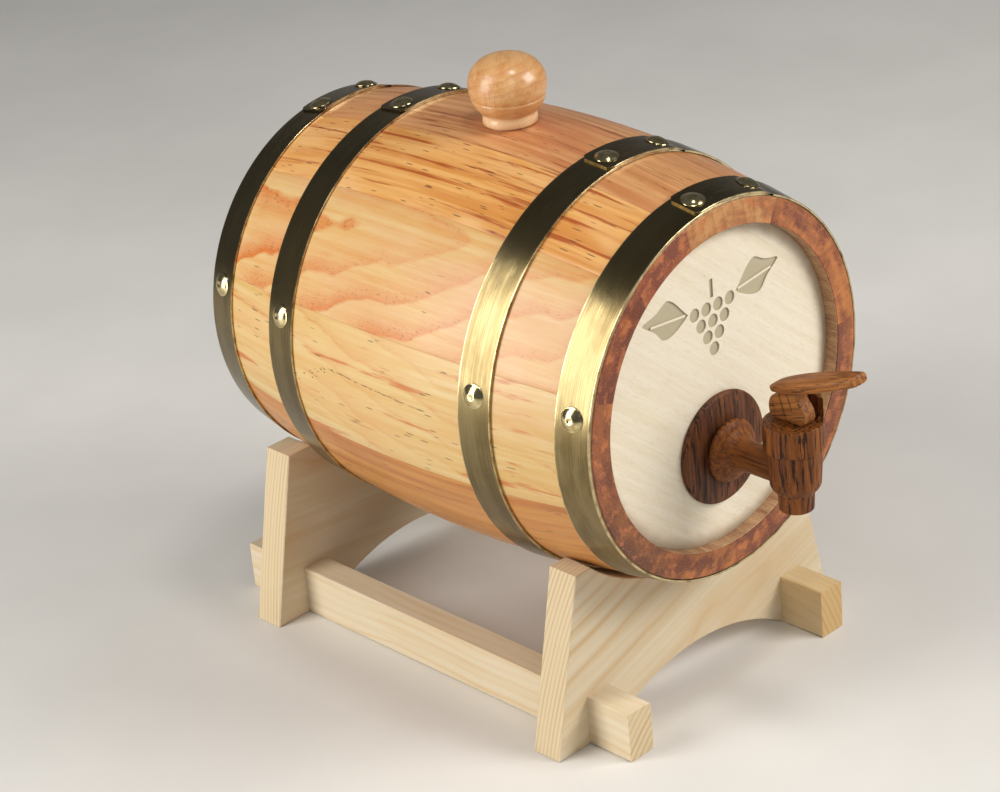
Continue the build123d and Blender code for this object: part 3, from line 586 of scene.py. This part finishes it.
def hoop_mat(name, warm=0.0):
    g = Mat(name)
    P = g.attr("strip")       # (around, across, out) in mm
    u, v, w = g.sep(P)
    brush = g.noise(g.vec("MULTIPLY", P, (0.016, 3.2, 0.0)), 1.0, 4.0, 0.65)
    brush2 = g.noise(g.vec("MULTIPLY", P, (0.05, 9.0, 0.0)), 1.0, 2.0, 0.6)
    cloud = g.noise(g.vec("MULTIPLY", P, (0.035, 0.12, 0.0)), 1.0, 3.0, 0.6)
    tarn = g.rng(cloud, 0.40, 0.68)
    col = g.mix(g.rng(brush, 0.3, 0.7), srgb(146, 130, 94), srgb(120, 105, 70))
    col = g.mix(g.mul(tarn, 0.55), col, srgb(94, 78, 48))
    spots = g.noise(g.vec("MULTIPLY", P, (0.5, 0.6, 0.0)), 1.0, 3.0, 0.6)
    col = g.mix(g.mul(g.rng(spots, 0.66, 0.78), 0.4), col, srgb(96, 76, 44))
    # worn bright edges
    ed = g.rng(g.math("ABSOLUTE", v), 6.75, 7.25)
    wear = g.rng(g.noise(g.vec("MULTIPLY", P, (0.15, 0.4, 0.0)), 1.0, 3.0), 0.3, 0.6)
    col = g.mix(g.mul(g.mul(ed, wear), 0.7), col, srgb(226, 206, 160))
    g.put(g.b.inputs["Base Color"], col)
    g.b.inputs["Metallic"].default_value = 1.0
    ro = g.add(g.rng(brush, 0.25, 0.75, 0.17, 0.25), g.mul(tarn, 0.05))
    g.put(g.b.inputs["Roughness"], ro)
    g.b.inputs["Anisotropic"].default_value = 0.0
    h = g.add(g.mul(brush, 0.6), g.mul(brush2, 0.4))
    dent = g.noise(g.vec("MULTIPLY", P, (0.06, 0.10, 0.0)), 1.0, 2.0)
    nb = g.bump(dent, 0.00035, 0.5)
    g.put(g.b.inputs["Normal"], g.bump(h, 0.000012, 1.0, nb))
    return g.m


def nail_mat():
    g = Mat("mat_nail")
    n1 = g.noise(g.obj(), 420.0, 3.0, 0.6)
    n2 = g.noise(g.obj(), 1500.0, 2.0, 0.6)
    col = g.mix(g.rng(n1, 0.35, 0.65), srgb(222, 206, 160), srgb(184, 164, 112))
    col = g.mix(g.mul(g.rng(n2, 0.62, 0.75), 0.4), col, srgb(120, 100, 62))
    g.put(g.b.inputs["Base Color"], col)
    g.b.inputs["Metallic"].default_value = 1.0
    g.put(g.b.inputs["Roughness"], g.rng(n1, 0.3, 0.7, 0.12, 0.22))
    g.put(g.b.inputs["Normal"], g.bump(n1, 0.00008, 0.6))
    return g.m


def steel_mat():
    g = Mat("mat_steel")
    n = g.noise(g.obj(), 800.0, 3.0, 0.6)
    g.put(g.b.inputs["Base Color"], g.mix(g.rng(n, 0.3, 0.7), srgb(180, 180, 182), srgb(140, 140, 144)))
    g.b.inputs["Metallic"].default_value = 1.0
    g.put(g.b.inputs["Roughness"], g.rng(n, 0.3, 0.7, 0.25, 0.4))
    g.put(g.b.inputs["Normal"], g.bump(n, 0.00003, 0.6))
    return g.m


def rubber_mat():
    g = Mat("mat_rubber")
    n = g.noise(g.obj(), 1200.0, 3.0, 0.6)
    g.put(g.b.inputs["Base Color"], g.mix(g.rng(n, 0.3, 0.7), srgb(42, 40, 38), srgb(60, 57, 54)))
    g.put(g.b.inputs["Roughness"], g.rng(n, 0.3, 0.7, 0.65, 0.8))
    g.put(g.b.inputs["Normal"], g.bump(n, 0.00004, 0.6))
    return g.m


# ------------------------------------------------------------------ staves
Y_ST = [-107.0, -106.62, -106.0, -104.0, -102.0, -101.0, -99.7, -99.69, -95.31, -95.3] + list(np.linspace(-93, 93, 63)) + \
       [95.3, 95.31, 99.69, 99.7, 101.0, 102.0, 104.0, 106.0, 106.62, 107.0]
CR1, CR0 = 95.3, 99.7
R_IN_END, R_IN_BELLY = R_END - CHIME_W, R_BELLY - BELLY_W
ARC_IN = (CR1**2 + (R_IN_BELLY - R_IN_END) ** 2) / (2 * (R_IN_BELLY - R_IN_END))


def r_in(y):
    a = abs(y)
    if a >= 106.9:
        return R_IN_END + 0.3
    if a >= CR0:
        return R_IN_END
    if a > CR1 + 1e-6:
        return R_IN_END + 3.0
    return R_IN_BELLY - ARC_IN + math.sqrt(ARC_IN**2 - a * a)


names = ["bung_stave"] + [f"stave_{i:02d}" for i in range(1, 11)]
for i, name in enumerate(names):
    a0 = JOINTS[i]
    wdt = (JOINTS[(i + 1) % 11] - a0) % 360
    hole = i == 0
    # column offsets from each side, in mm at the belly, with a small rounded arris
    offs = [(0.015, -0.12), (0.05, -0.03), (0.14, 0.0)]
    half = wdt / 2
    V, G, loop_n = [], [], 0
    ncol = 26
    for y in Y_ST:
        ro = r_out(y)
        if abs(y) >= 106.9:
            ro -= 0.42
        elif abs(y) > 106.55:
            ro -= 0.05
        ri = r_in(y)
        cols = []
        for d, dr in offs:
            cols.append((-half + math.degrees(d / ro), dr))
        for t in np.linspace(-1, 1, ncol + 2)[1:-1]:
            cols.append((t * (half - math.degrees(0.6 / ro)), 0.0))
        for d, dr in reversed(offs):
            cols.append((half - math.degrees(d / ro), dr))
        row = []
        for ang, dr in cols:
            row.append((ang, ro + dr))
        for ang, dr in reversed(cols):
            row.append((ang, ri))
        loop_n = len(row)
        for k, (ang, r) in enumerate(row):
            A = math.radians(a0 + half + ang)
            V.append((r * math.sin(A), y, r * math.cos(A)))
            depth = (r_out(y) - r)
            G.append((math.radians(ang) * r, y, depth))
    V = np.array(V)
    n, m = len(Y_ST), loop_n
    F = grid(n, m, wrap_c=True)
    hc = m // 2
    for base in (0, (n - 1) * m):
        for j in range(hc - 1):
            F.append((base + j, base + j + 1, base + m - 2 - j, base + m - 1 - j))
    V = V + np.array([0, AY, AZ])
    ob = new_mesh("vis_" + name, V, F, "barrel", [name], [stave_mat(i, name)], {"grain": G}, angle=40)
    if hole:
        # tapered bung hole, cut with a cone
        cV, cF = lathe([(0, 66.0), (8.66 + (66.0 - 68.5) * 0.045 + 0.0, 66.0), (9.62, 90.0), (0, 90.0)], 96)
        boolean(ob, cV + np.array([0, AY, AZ]), cF, "DIFFERENCE")

# ------------------------------------------------------------------ hoops: one strip each, its outer end lying over its inner end
for name, (side, e0, e1) in HOOPS.items():
    lap0, lap1 = RIVETS[name][0] - 4.2, RIVETS[name][1] + 5.4
    y0, y1 = side * e0, side * e1
    ym, hw = (y0 + y1) / 2, abs(y1 - y0) / 2
    Rm = (r_out(y0) + r_out(y1)) / 2
    b = 0.09
    # section (across, out), with small arrises
    sec = [(-hw, 0.0), (hw, 0.0), (hw, HOOP_T - b), (hw - b, HOOP_T)]
    sec += [(t * (hw - b), HOOP_T) for t in (0.6, 0.2, -0.2, -0.6)]
    sec += [(-hw + b, HOOP_T), (-hw, HOOP_T - b)]
    T = list(np.linspace(0, 3.2, 9)) + list(np.linspace(4.2, (lap1 + 360 - lap0), 500))
    V, S = [], []
    clip = 1.9
    ph = rng.uniform(0, 6)
    for t in T:
        ang = lap0 + t
        arc = math.radians(t) * Rm
        if t < lap1 - lap0 - 5.0:
            lift = HOOP_T + 0.02
        else:
            q = min(1.0, (t - (lap1 - lap0 - 5.0)) / 5.0)
            lift = (HOOP_T + 0.02) * (1 - q * q * (3 - 2 * q))
        # the far end of the strip stays hidden under the lap
        q2 = max(0.0, t - (360 + lap1 - lap0 - 9.0))
        wscale = 1.0
        if arc < clip:
            wscale = (hw - (clip - arc)) / hw
        A = math.radians(ang)
        for a, o in sec:
            yy = ym + a * wscale
            yc = max(min(abs(yy), e1), e0)
            r = r_out(yy) if e0 <= abs(yy) <= e1 else r_out(yc)
            # straight between the edges, as a strip is
            f = (yy - y0) / (y1 - y0)
            r = r_out(y0) + (r_out(y1) - r_out(y0)) * f
            rr = r + GAP + lift * 0.985 + o + 0.22 * max(0.0, 0.5 + 0.5 * side * (yy - ym) / hw)
            V.append((rr * math.sin(A), yy + AY, rr * math.cos(A) + AZ))
            S.append((arc + ph * 40, a * wscale * 7.4 / hw, o))
    m = len(sec)
    F = grid(len(T), m, wrap_c=True)
    F.append(tuple(range(m)))
    F.append(tuple(range(len(V) - 1, len(V) - 1 - m, -1)))
    new_mesh("vis_" + name, V, F, "barrel", [name], [hoop_mat("mat_" + name)], {"strip": S}, angle=32)

# ------------------------------------------------------------------ round-headed nails and rivets
nm = nail_mat()


def dome(shank, seg=40):
    R = (NAIL_R**2 + NAIL_H**2) / (2 * NAIL_H)
    prof = [(0.0, -shank), (0.5, -shank), (0.85, -shank + 0.7), (0.85, -0.05), (NAIL_R - 0.18, -0.02), (NAIL_R - 0.02, 0.10), (NAIL_R - 0.10, 0.30)]
    for q in np.linspace(0.93, 0.0, 15):
        r = NAIL_R * q
        z = NAIL_H - R + math.sqrt(R * R - r * r)
        z = z * 0.97 + 0.05
        if r < 1.5:
            z -= 0.34 * (1 - (r / 1.5) ** 2) ** 1.5
        prof.append((r, z))
    return lathe(prof, seg)


def fasteners(name, table, lift, shank, seed):
    rs = np.random.default_rng(seed)
    Vs, Fs, n = [], [], 0
    for hoop, (side, e0, e1) in HOOPS.items():
        y = side * (e0 + e1) / 2
        tilt = math.atan(-y / math.sqrt(ARC_R**2 - y * y))
        for a in table[hoop]:
            V, F = dome(shank)
            # off-centre dimple: the crown leans a little
            lean = rs.uniform(-1, 1, 2) * 0.35
            k = np.clip(V[:, 2] / NAIL_H, 0, 1)
            V[:, 0] += k * lean[0]
            V[:, 1] += k * lean[1]
            M = Matrix.Rotation(math.radians(a), 4, "Y") @ Matrix.Translation((0, y, r_out(y) + lift)) @ Matrix.Rotation(tilt, 4, "X") @ Matrix.Rotation(rs.uniform(0, 6.28), 4, "Z")
            for p in V:
                q = M @ Vector(p)
                Vs.append((q.x, q.y + AY, q.z + AZ))
            Fs += [tuple(i + n for i in f) for f in F]
            n += len(V)
    return new_mesh("vis_" + name, Vs, Fs, "barrel", [name], [nm], angle=45)


fasteners("hoop_nails", NAILS, HOOP_T + 0.12, 8.0, 3)
fasteners("hoop_rivets", RIVETS, 2 * HOOP_T + 0.12, 2.9, 5)

# ------------------------------------------------------------------ bung
bz = R_BELLY + 0.3
ball = catmull([(10.9, bz + 4.4), (12.6, bz + 5.9), (13.9, bz + 7.9), (14.75, bz + 10.1)], 5)
crown = catmull([(14.9, bz + 11.4), (15.35, bz + 13.4), (15.5, bz + 15.6), (15.25, bz + 18.0), (14.2, bz + 20.8), (12.2, bz + 23.4), (9.2, bz + 25.5), (5.2, bz + 26.7), (0.0, bz + 27.0)], 6)
crown = [(max(float(p[0]), 0.0), float(p[1])) for p in crown]
prof = [(0, bz - 16), (8.6, bz - 16), (8.8, bz - 15.7), (9.5, bz - 0.02), (10.7, bz), (10.9, bz + 0.2), (10.88, bz + 2.2), (10.68, bz + 2.8), (10.6, bz + 3.3), (10.68, bz + 3.9)]
prof += [(float(p[0]), float(p[1])) for p in ball] + [(14.62, bz + 10.45), (14.45, bz + 10.75), (14.55, bz + 11.05)] + crown
V, F = lathe(prof, 128)
new_mesh("vis_bung", V + np.array([0, AY, AZ]), F, "bung", ["bung"], [bung_mat()], angle=50)

# ------------------------------------------------------------------ lever: loaf-shaped cam block, waist and leaf paddle
TILT = math.radians(18.7)
side_pts = [(-6.0, -2.8), (-2.0, -2.8), (2.0, -2.8), (6.2, -2.8), (8.1, -1.9), (9.0, 0.6), (8.8, 3.9), (7.4, 6.3), (5.2, 7.3), (4.1, 8.4), (4.2, 10.0), (2.0, 12.0),
            (-6.4, 14.6), (-5.5, 11.6), (-4.8, 8.9), (-5.4, 6.3), (-7.2, 4.1), (-8.4, 1.5), (-8.3, -1.0), (-7.4, -2.4)]
P2 = np.array(side_pts)
ring = []
for k in range(len(P2)):
    p0, p1, p2, p3 = P2[k - 1], P2[k], P2[(k + 1) % len(P2)], P2[(k + 2) % len(P2)]
    for t in np.linspace(0, 1, 5, endpoint=False):
        ring.append(0.5 * (2 * p1 + (p2 - p0) * t + (2 * p0 - 5 * p1 + 4 * p2 - p3) * t * t + (3 * p1 - p0 - 3 * p2 + p3) * t**3))
ring = np.array(ring)
ring[:, 1] = np.maximum(ring[:, 1], -2.8)
tang = np.roll(ring, -1, 0) - np.roll(ring, 1, 0)
tang /= np.linalg.norm(tang, axis=1)[:, None]
inward = np.stack([-tang[:, 1], tang[:, 0]], 1)
EDGE = 1.0
layers = [(-3.5, EDGE + 0.35)]
for q in (90, 65, 40, 15, 0):
    layers.append((-(3.5 - EDGE + EDGE * math.sin(math.radians(q))), EDGE * (1 - math.cos(math.radians(q)))))
layers += [(-x, i) for x, i in reversed(layers)]
V = []
for x, ins in layers:
    for p, nrm in zip(ring, inward):
        V.append((x, p[0] + nrm[0] * ins, p[1] + nrm[1] * ins))
m = len(ring)
F = grid(len(layers), m, wrap_c=True)
F.append(tuple(range(m)))
F.append(tuple(range(len(V) - 1, len(V) - 1 - m, -1)))
V = np.array(V) + np.array([0, TY, AZ])
lever = new_mesh("vis_tap_lever", V, F, "tap_lever", ["tap_lever"], [], angle=40)
ps = [-9.0, -8.75, -8.1, -6.7, -4.0, 0.0, 6.0, 14.0, 22.0, 29.0, 32.2, 33.7, 34.3, 34.5]
pw = [0.8, 2.2, 3.5, 4.6, 5.3, 5.7, 6.0, 6.1, 5.8, 5.1, 4.7, 4.4, 4.0, 3.2]
pt = [0.0, 0.4, 0.8, 1.2, 1.6, 1.95, 2.3, 2.45, 2.35, 2.1, 1.95, 1.8, 1.6, 1.2]
pb = [-0.6, -1.05, -1.5, -1.95, -2.45, -3.0, -3.45, -3.5, -3.15, -2.75, -2.6, -2.4, -2.2, -1.8]
ss = sorted(set(ps) | set(np.linspace(-5, 32, 26)))
V = []
for s_ in ss:
    w_, t_, b_ = np.interp(s_, ps, pw), np.interp(s_, ps, pt), np.interp(s_, ps, pb)
    for k in range(28):
        a_ = 2 * math.pi * k / 28
        cx, cz = math.cos(a_), math.sin(a_)
        x = w_ * math.copysign(abs(cx) ** 0.58, cx)
        z = (t_ + b_) / 2 + (t_ - b_) / 2 * math.copysign(abs(cz) ** 0.58, cz)
        V.append((x, -s_ * math.cos(TILT) + z * math.sin(TILT), s_ * math.sin(TILT) + z * math.cos(TILT) + 12.3))
F = grid(len(ss), 28, wrap_c=True)
F.append(tuple(range(28)))
F.append(tuple(range(len(V) - 1, len(V) - 29, -1)))
boolean(lever, np.array(V) + np.array([0, TY, AZ]), F, "UNION", True)
# slot for the stem's tongue, and the pin's hole
V, F = [], []
arc = [(4.4 * math.cos(q), 1.2 + 4.4 * math.sin(q)) for q in np.linspace(0, math.pi, 17)]
prof = [(4.4, -5.0)] + arc + [(-4.4, -5.0)]
for x in (-1.7, 1.7):
    V += [(x, y, z) for y, z in prof]
m = len(prof)
F = grid(2, m, wrap_c=True) + [tuple(range(m)), tuple(range(2 * m - 1, m - 1, -1))]
boolean(lever, np.array(V) + np.array([0, TY, AZ]), F, "DIFFERENCE", True)
V = []
for x in (-3.0, 6.0):
    V += [(x, 1.01 * math.cos(q), 1.2 + 1.01 * math.sin(q)) for q in np.linspace(0, 2 * math.pi, 32, endpoint=False)]
F = grid(2, 32, wrap_c=True) + [tuple(range(32)), tuple(range(63, 31, -1))]
boolean(lever, np.array(V) + np.array([0, TY, AZ]), F, "DIFFERENCE", True)
bm = bmesh.new()
bm.from_mesh(lever.data)
bmesh.ops.remove_doubles(bm, verts=bm.verts, dist=4e-6)
bmesh.ops.dissolve_degenerate(bm, edges=bm.edges, dist=1e-5)
bmesh.ops.dissolve_limit(bm, angle_limit=math.radians(1.2), verts=bm.verts, edges=bm.edges)
bm.normal_update()
for f in bm.faces:
    f.smooth = not (abs(f.normal.x) > 0.998 and f.calc_area() > 2e-6)
bm.to_mesh(lever.data)
bm.free()
lever.data.set_sharp_from_angle(angle=math.radians(32))
lever.data.materials.clear()
lever.data.materials.append(tap_mat("mat_tap_lever", (1, 2, 3), 8.1, light=1, lean=TILT, k_streak=0.75, k_band=0.65, st_lo=0.54, st_hi=0.64))

# ------------------------------------------------------------------ carried-over CAD nodes: their own materials
def dress(node, mat):
    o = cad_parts[node]
    o.data.materials.clear()
    o.data.materials.append(mat)


hm = head_mat()
for n in ("front_head", "rear_head"):
    dress(n, hm)
tb = tap_mat("mat_tap_body", (1, 3, 2), 2.3)
dress("tap_body", tb)
dress("tap_bonnet", tb)
dress("tap_stem", tap_mat("mat_tap_stem", (1, 3, 2), 5.1, light=1))
dress("tap_shank", tap_mat("mat_tap_shank", (1, 2, 3), 3.7, k_band=0.4, k_streak=0.5))
dress("tap_flange", tap_mat("mat_tap_flange", (1, 3, 2), 6.4, cu=30.0, cw=8.0, ring=3.2, base=srgb(116, 70, 42), base2=srgb(72, 40, 22)))
sm = steel_mat()
for n in ("lever_pin", "valve_spring", "stand_screws"):
    dress(n, sm)
dress("valve_seal", rubber_mat())
dress("front_plate", pine_mat("mat_front_plate", (3, 1, 2), 1.1, cu=14.0, cw=-300.0, ring=1.95, band=srgb(196, 150, 84), wander_w=1.6, wander_u=10.0, wander_f=0.012, tilt=-0.30, warp=0.35, wobble=0.03, ring_lo=0.55))
dress("rear_plate", pine_mat("mat_rear_plate", (3, 1, 2), 2.7, cu=30.0, cw=-300.0, ring=1.9, wander_w=1.6, wander_u=8.0, tilt=0.10, warp=0.35, wobble=0.03, ring_lo=0.55))
dress("left_rail", pine_mat("mat_left_rail", (1, 2, 3), 3.3, cu=22.0, cw=-70.0, ring=3.0, wander_w=2.0, warp=0.8, k_band=0.75, edge=0.6))
dress("right_rail", pine_mat("mat_right_rail", (1, 2, 3), 5.9, cu=-50.0, cw=-40.0, ring=2.6, warp=0.8, k_band=0.45, base=srgb(220, 194, 146), base2=srgb(212, 182, 130), end=srgb(204, 172, 118)))

# ------------------------------------------------------------------ floor, lights, camera
fm = Mat("mat_floor")
n1 = fm.noise(fm.obj(), 6.0, 4.0, 0.6)
fm.put(fm.b.inputs["Base Color"], fm.mix(fm.rng(n1, 0.3, 0.7), srgb(226, 223, 217), srgb(219, 216, 210)))
fm.b.inputs["Roughness"].default_value = 0.6
bm = bmesh.new()
V, n = [], 40
rows = []
for j in range(n + 1):
    t = j / n
    # floor running back and sweeping up into the backdrop, square to the view
    d = -2.2 + 6.4 * t
    z = 0.0 if d < 2.4 else (d - 2.4) ** 2 * 0.9
    rows.append([bm.verts.new((x * 4.5 * 0.737 + d * 0.674, -x * 4.5 * 0.674 + d * 0.739, z - 0.0002)) for x in (-1, -0.5, 0, 0.5, 1)])
for r0, r1 in zip(rows[:-1], rows[1:]):
    for k in range(4):
        bm.faces.new((r0[k], r0[k + 1], r1[k + 1], r1[k]))
me = bpy.data.meshes.new("floor")
bm.to_mesh(me)
bm.free()
me.materials.append(fm.m)
me.shade_smooth()
floor = bpy.data.objects.new("floor", me)
scene.collection.objects.link(floor)


def area(name, loc, target, size, power, color=(1, 1, 1), size_y=None):
    ld = bpy.data.lights.new(name, "AREA")
    ld.shape = "RECTANGLE"
    ld.size = size
    ld.size_y = size_y or size
    ld.energy = power
    ld.color = color
    o = bpy.data.objects.new(name, ld)
    o.location = loc
    o.rotation_euler = (Vector(target) - Vector(loc)).to_track_quat("-Z", "Y").to_euler()
    scene.collection.objects.link(o)
    return o


world = bpy.data.worlds.new("world")
scene.world = world
world.use_nodes = True
bg = world.node_tree.nodes["Background"]
bg.inputs[0].default_value = (0.86, 0.90, 1.0, 1)
bg.inputs[1].default_value = 0.12
area("key", (-1.02, 0.45, 0.60), (0, 0.02, 0.12), 0.58, 14.6, (1.0, 0.985, 0.955), 1.30)
area("front", (0.75, -1.15, 0.95), (0, -0.05, 0.12), 0.8, 20, (1.0, 0.985, 0.96))
area("fill", (-0.75, -1.25, 1.25), (0, 0.0, 0.12), 0.8, 5, (1.0, 0.98, 0.96))
area("top", (0.0, -0.34, 1.45), (0, -0.02, 0.15), 0.20, 3.4, (1.0, 0.98, 0.95))

cam = bpy.data.cameras.new("camera")
co = bpy.data.objects.new("camera", cam)
scene.collection.objects.link(co)
yaw, pitch, roll = math.radians(42.36813750534635), math.radians(-26.231884412442128), math.radians(-5.4374563449540645)
fwd = Vector((math.sin(yaw) * math.cos(pitch), math.cos(yaw) * math.cos(pitch), math.sin(pitch)))
right = Vector((math.cos(yaw), -math.sin(yaw), 0))
up = right.cross(fwd)
R = right * math.cos(roll) + up * math.sin(roll)
U = -right * math.sin(roll) + up * math.cos(roll)
m4 = Matrix(((R.x, U.x, -fwd.x, -0.72817684), (R.y, U.y, -fwd.y, -0.75137137), (R.z, U.z, -fwd.z, 0.62802765), (0, 0, 0, 1)))
co.matrix_world = m4
cam.sensor_fit = "HORIZONTAL"
cam.sensor_width = 36.0
cam.lens = 2911.27995 / 1000 * 36.0
cam.clip_start = 0.05
cam.clip_end = 50
cam.dof.use_dof = False
scene.camera = co
scene.view_settings.view_transform = "Standard"
